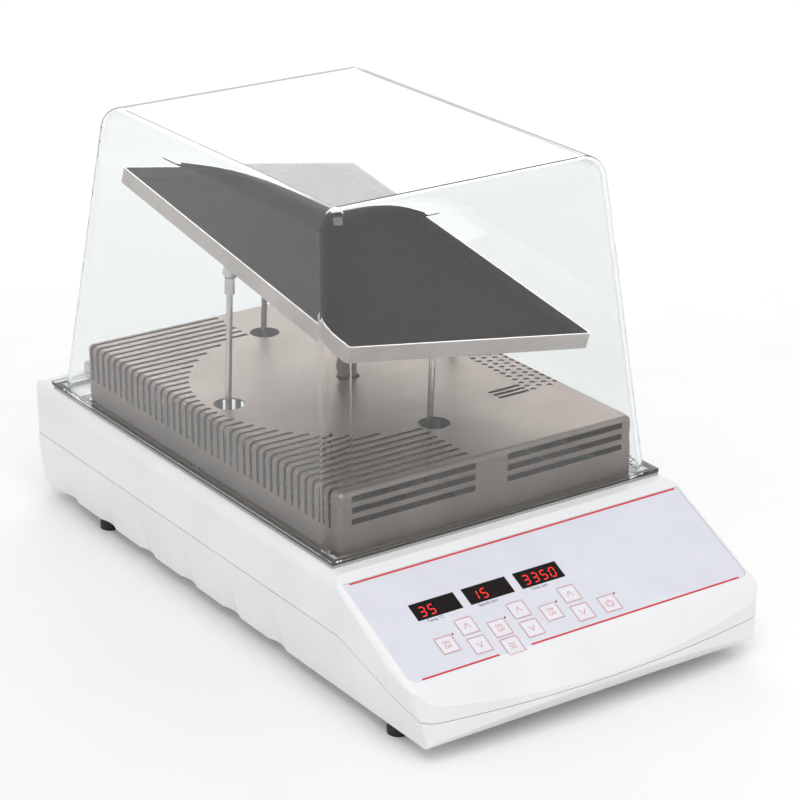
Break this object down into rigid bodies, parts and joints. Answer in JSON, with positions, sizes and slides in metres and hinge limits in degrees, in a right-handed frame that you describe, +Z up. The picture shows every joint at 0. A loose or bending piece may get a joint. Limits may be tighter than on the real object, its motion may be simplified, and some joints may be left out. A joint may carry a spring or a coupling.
{
  "type": "heated waving shaker",
  "caption": "Heated waving shaker: tray on a ball pivot nutated by a swash plate and rods under a clear hinged lid, sloped keypad in front.",
  "frame": {"origin": "on the floor under the middle of the case's outline", "axes": "+Z up, -Y towards the keypad, +X to the right seen from the front"},
  "size_m": [0.413, 0.76, 0.46],
  "materials": {
    "white_abs": "moulded, satin",
    "overlay_polyester": "printed film",
    "key_film": "printed film over a dome",
    "display_black": "tinted window",
    "clear_acrylic": "clear, formed",
    "black_rubber": "moulded",
    "belt_rubber": "ribbed",
    "brushed_steel": "brushed",
    "turned_steel": "turned and polished",
    "machined_aluminium": "machined",
    "zinc_plate": "zinc plated",
    "motor_enamel": "enamelled",
    "black_moulding": "moulded",
    "heater_sheath": "heat darkened",
    "white_fleece": "needled fleece",
    "circuit_board": "solder resist",
    "component_black": "moulded"
  },
  "bodies": {
    "base": {"upper_housing": "white_abs", "lower_housing": "white_abs", "case_screws": "turned_steel", "feet": "black_rubber", "control_overlay": "overlay_polyester", "display_modules": "display_black", "dome_switches": "black_moulding", "display_board": "circuit_board", "hinge_brackets": "brushed_steel", "hinge_pins": "turned_steel", "chamber_cover": "brushed_steel", "air_filter": "white_fleece", "centre_post": "turned_steel", "chassis_plate": "zinc_plate", "motor_bracket": "zinc_plate", "motor": "motor_enamel", "drive_belt": "belt_rubber", "fan_housing": "black_moulding", "heater_element": "heater_sheath", "temperature_probe": "turned_steel", "main_board": "circuit_board", "board_components": "component_black", "power_inlet": "black_moulding", "inlet_pins": "turned_steel", "power_switch": "black_moulding"},
    "lid": {"lid": "clear_acrylic", "lid_straps": "brushed_steel", "lid_gasket": "black_rubber"},
    "crank": {"crank_hub": "machined_aluminium", "crank_bearings": "turned_steel", "crank_pulley": "machined_aluminium"},
    "swash": {"swash_plate": "machined_aluminium", "swash_bearing": "turned_steel"},
    "pivot": {"pivot_ball": "turned_steel"},
    "tray": {"tray": "brushed_steel", "tray_mat": "black_rubber", "tray_hub": "machined_aluminium", "tray_sockets": "machined_aluminium"},
    "motor_drive": {"motor_pulley": "machined_aluminium"},
    "fan": {"fan_rotor": "black_moulding"},
    "rocker": {"switch_rocker": "black_moulding"},
    "link_left": {"rod_left": "turned_steel", "ball_left": "turned_steel"},
    "link_right": {"rod_right": "turned_steel", "ball_right": "turned_steel"},
    "link_front": {"rod_front": "turned_steel", "ball_front": "turned_steel"},
    "link_back": {"rod_back": "turned_steel", "ball_back": "turned_steel"},
    "key_temperature_start": {"key_temperature_start": "key_film"},
    "key_temperature_up": {"key_temperature_up": "key_film"},
    "key_temperature_down": {"key_temperature_down": "key_film"},
    "key_speed_start": {"key_speed_start": "key_film"},
    "key_speed_up": {"key_speed_up": "key_film"},
    "key_speed_down": {"key_speed_down": "key_film"},
    "key_time_start": {"key_time_start": "key_film"},
    "key_time_up": {"key_time_up": "key_film"},
    "key_time_down": {"key_time_down": "key_film"},
    "key_program": {"key_program": "key_film"},
    "key_power": {"key_power": "key_film"}
  },
  "joints": [
    {"name": "crank_spin", "type": "hinge", "parent": "base", "child": "crank", "pos_m": [0, 0.06, 0.158], "axis": [0, 0, 1], "continuous": true},
    {"name": "swash_wobble", "type": "hinge", "parent": "crank", "child": "swash", "pos_m": [0, 0.06, 0.158], "axis": [0.162, -0.1511, 0.9751], "continuous": true},
    {"name": "pivot_turn", "type": "hinge", "parent": "base", "child": "pivot", "pos_m": [0, 0.06, 0.308], "axis": [0, 0, 1], "continuous": true},
    {"name": "tray_wave", "type": "hinge", "parent": "pivot", "child": "tray", "pos_m": [0, 0.06, 0.308], "axis": [0.162, -0.1511, 0.9751], "continuous": true},
    {"name": "rod_swing_left", "type": "hinge", "parent": "tray", "child": "link_left", "pos_m": [-0.13519, 0.05738, 0.33621], "axis": [0.162, -0.1511, 0.9751], "continuous": true},
    {"name": "rod_swing_right", "type": "hinge", "parent": "tray", "child": "link_right", "pos_m": [0.13714, 0.0608, 0.29149], "axis": [0.162, -0.1511, 0.9751], "continuous": true},
    {"name": "rod_swing_front", "type": "hinge", "parent": "tray", "child": "link_front", "pos_m": [-0.00096, -0.0951, 0.29028], "axis": [0.162, -0.1511, 0.9751], "continuous": true},
    {"name": "rod_swing_back", "type": "hinge", "parent": "tray", "child": "link_back", "pos_m": [0.00291, 0.21329, 0.33742], "axis": [0.162, -0.1511, 0.9751], "continuous": true},
    {"name": "motor_spin", "type": "hinge", "parent": "base", "child": "motor_drive", "pos_m": [0, 0.21, 0.075], "axis": [0, 0, 1], "continuous": true},
    {"name": "fan_spin", "type": "hinge", "parent": "base", "child": "fan", "pos_m": [0.112, 0.222, 0.185], "axis": [0, 0, 1], "continuous": true},
    {"name": "lid_open", "type": "hinge", "parent": "base", "child": "lid", "pos_m": [0, 0.358, 0.145], "axis": [-1, 0, 0], "range_deg": [0, 80]},
    {"name": "key_temperature_start_press", "type": "slide", "parent": "base", "child": "key_temperature_start", "axis": [0, 0.4368, -0.8996], "range_m": [0, 0.0008], "stiffness_N_per_m": 800},
    {"name": "key_temperature_up_press", "type": "slide", "parent": "base", "child": "key_temperature_up", "axis": [0, 0.4368, -0.8996], "range_m": [0, 0.0008], "stiffness_N_per_m": 800},
    {"name": "key_temperature_down_press", "type": "slide", "parent": "base", "child": "key_temperature_down", "axis": [0, 0.4368, -0.8996], "range_m": [0, 0.0008], "stiffness_N_per_m": 800},
    {"name": "key_speed_start_press", "type": "slide", "parent": "base", "child": "key_speed_start", "axis": [0, 0.4368, -0.8996], "range_m": [0, 0.0008], "stiffness_N_per_m": 800},
    {"name": "key_speed_up_press", "type": "slide", "parent": "base", "child": "key_speed_up", "axis": [0, 0.4368, -0.8996], "range_m": [0, 0.0008], "stiffness_N_per_m": 800},
    {"name": "key_speed_down_press", "type": "slide", "parent": "base", "child": "key_speed_down", "axis": [0, 0.4368, -0.8996], "range_m": [0, 0.0008], "stiffness_N_per_m": 800},
    {"name": "key_time_start_press", "type": "slide", "parent": "base", "child": "key_time_start", "axis": [0, 0.4368, -0.8996], "range_m": [0, 0.0008], "stiffness_N_per_m": 800},
    {"name": "key_time_up_press", "type": "slide", "parent": "base", "child": "key_time_up", "axis": [0, 0.4368, -0.8996], "range_m": [0, 0.0008], "stiffness_N_per_m": 800},
    {"name": "key_time_down_press", "type": "slide", "parent": "base", "child": "key_time_down", "axis": [0, 0.4368, -0.8996], "range_m": [0, 0.0008], "stiffness_N_per_m": 800},
    {"name": "key_program_press", "type": "slide", "parent": "base", "child": "key_program", "axis": [0, 0.4368, -0.8996], "range_m": [0, 0.0008], "stiffness_N_per_m": 800},
    {"name": "key_power_press", "type": "slide", "parent": "base", "child": "key_power", "axis": [0, 0.4368, -0.8996], "range_m": [0, 0.0008], "stiffness_N_per_m": 800},
    {"name": "rocker_tilt", "type": "hinge", "parent": "base", "child": "rocker", "pos_m": [-0.06, 0.3752, 0.048], "axis": [1, 0, 0], "range_deg": [0, 18]}
  ],
  "couplings": [
    {"joint": "swash_wobble", "follows": "crank_spin", "ratio": -1},
    {"joint": "pivot_turn", "follows": "crank_spin", "ratio": 1},
    {"joint": "tray_wave", "follows": "crank_spin", "ratio": -1},
    {"joint": "rod_swing_left", "follows": "crank_spin", "ratio": 1},
    {"joint": "rod_swing_right", "follows": "crank_spin", "ratio": 1},
    {"joint": "rod_swing_front", "follows": "crank_spin", "ratio": 1},
    {"joint": "rod_swing_back", "follows": "crank_spin", "ratio": 1},
    {"joint": "motor_spin", "follows": "crank_spin", "ratio": 3}
  ]
}
